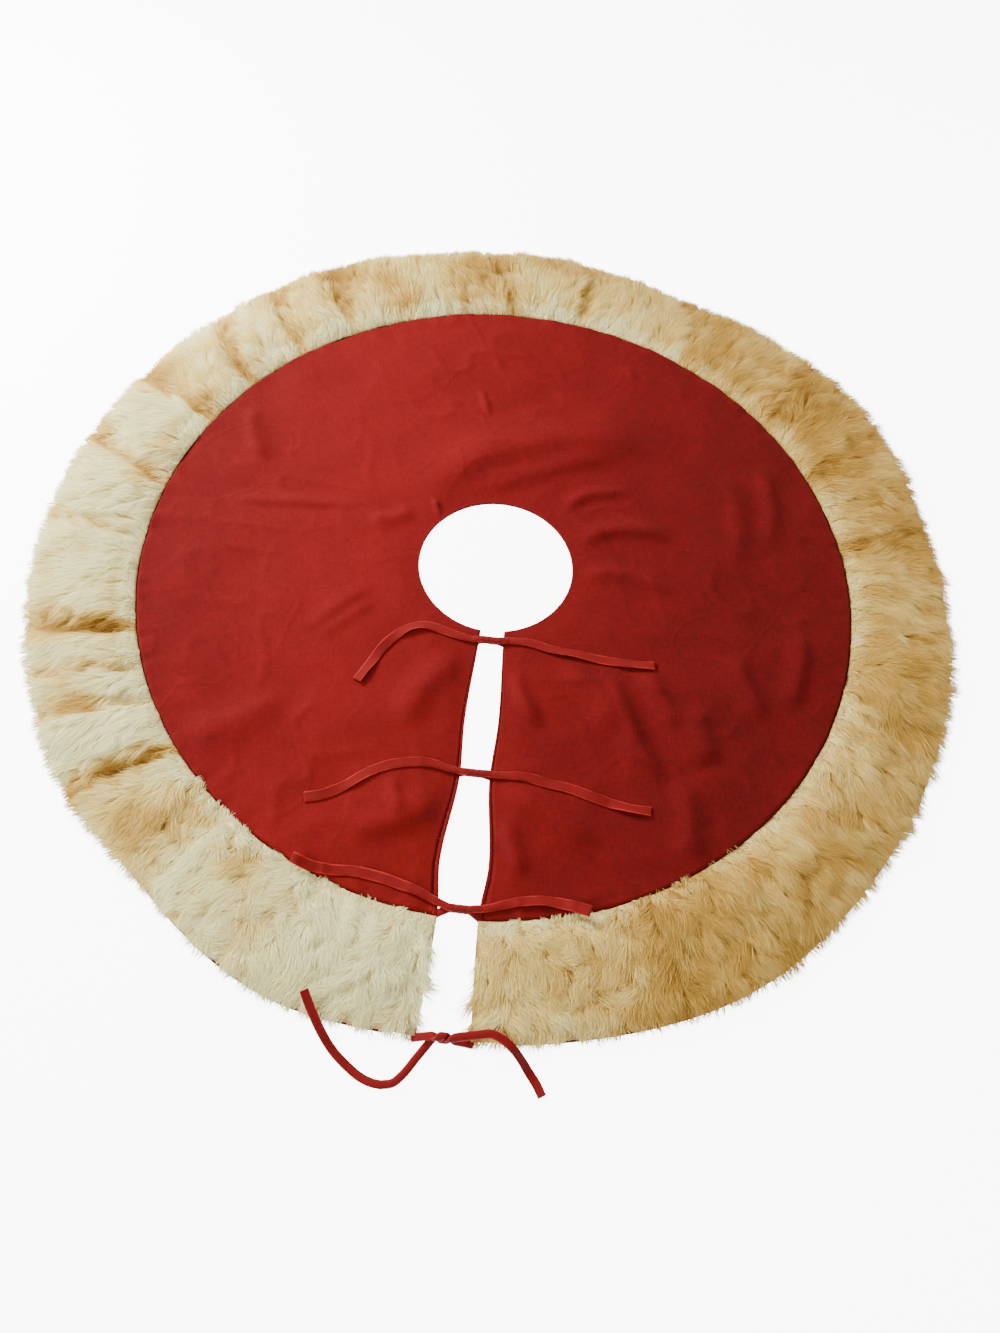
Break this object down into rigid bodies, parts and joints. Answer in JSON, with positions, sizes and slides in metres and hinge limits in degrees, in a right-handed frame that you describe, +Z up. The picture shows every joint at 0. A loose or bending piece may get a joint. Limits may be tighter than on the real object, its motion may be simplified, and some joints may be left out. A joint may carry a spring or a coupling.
{
  "type": "tree skirt",
  "caption": "Round floor cover for the foot of a Christmas tree, with a trunk opening, a front slit closed by knotted ties and a long-pile border.",
  "frame": {"origin": "on the floor, at the middle of the spread skirt", "axes": "+Z up off the floor; the front slit runs from the trunk opening along -Y; +X to the right of someone who faces the tree with the slit towards them"},
  "size_m": [1.2186, 1.2668, 0.0276],
  "materials": {
    "face_cloth": "brushed, matt",
    "lining": "plain weave, matt",
    "fur": "long pile, matt",
    "ties": "brushed, matt",
    "thread": "twisted, satin"
  },
  "bodies": {
    "root": {"lining": "lining", "face_cloth": "face_cloth", "fur_strip_1": "fur", "fur_strip_2": "fur", "fur_strip_3": "fur", "fur_strip_4": "fur", "border_seam_thread": "thread", "hem_seam_thread": "thread", "front_seam_thread": "thread", "neck_tie_left": "ties", "neck_tie_right": "ties", "middle_tie_left": "ties", "middle_tie_right": "ties", "border_tie_left": "ties", "border_tie_right": "ties", "hem_tie_left": "ties", "hem_tie_right": "ties"},
    "neck_tie_left_tail": {"neck_tie_left_tail": "ties"},
    "neck_tie_right_tail": {"neck_tie_right_tail": "ties"},
    "middle_tie_left_tail": {"middle_tie_left_tail": "ties"},
    "middle_tie_right_tail": {"middle_tie_right_tail": "ties"},
    "border_tie_left_tail": {"border_tie_left_tail": "ties"},
    "border_tie_right_tail": {"border_tie_right_tail": "ties"},
    "hem_tie_left_tail": {"hem_tie_left_tail": "ties"},
    "hem_tie_right_tail": {"hem_tie_right_tail": "ties"}
  },
  "joints": [
    {"name": "neck_tie_left_lift", "type": "hinge", "parent": "root", "child": "neck_tie_left_tail", "pos_m": [0.022, -0.112, 0.0045], "axis": [-0.0312, -0.9995, 0], "range_deg": [0, 90]},
    {"name": "neck_tie_right_lift", "type": "hinge", "parent": "root", "child": "neck_tie_right_tail", "pos_m": [-0.024, -0.116, 0.0045], "axis": [0.1483, 0.9889, 0], "range_deg": [0, 90]},
    {"name": "middle_tie_left_lift", "type": "hinge", "parent": "root", "child": "middle_tie_left_tail", "pos_m": [0.028, -0.298, 0.0045], "axis": [0.0345, -0.9994, 0], "range_deg": [0, 90]},
    {"name": "middle_tie_right_lift", "type": "hinge", "parent": "root", "child": "middle_tie_right_tail", "pos_m": [-0.028, -0.297, 0.0045], "axis": [0.1521, 0.9884, 0], "range_deg": [0, 90]},
    {"name": "border_tie_left_lift", "type": "hinge", "parent": "root", "child": "border_tie_left_tail", "pos_m": [0.035, -0.458, 0.0045], "axis": [0.3457, -0.9383, 0], "range_deg": [0, 90]},
    {"name": "border_tie_right_lift", "type": "hinge", "parent": "root", "child": "border_tie_right_tail", "pos_m": [-0.03, -0.455, 0.0045], "axis": [0.3625, 0.932, 0], "range_deg": [0, 90]},
    {"name": "hem_tie_left_lift", "type": "hinge", "parent": "root", "child": "hem_tie_left_tail", "pos_m": [0.038, -0.594, 0.0215], "axis": [0.1646, -0.9864, 0], "range_deg": [0, 90]},
    {"name": "hem_tie_right_lift", "type": "hinge", "parent": "root", "child": "hem_tie_right_tail", "pos_m": [-0.058, -0.651, 0.0017], "axis": [0.0994, 0.995, 0], "range_deg": [0, 90]}
  ]
}
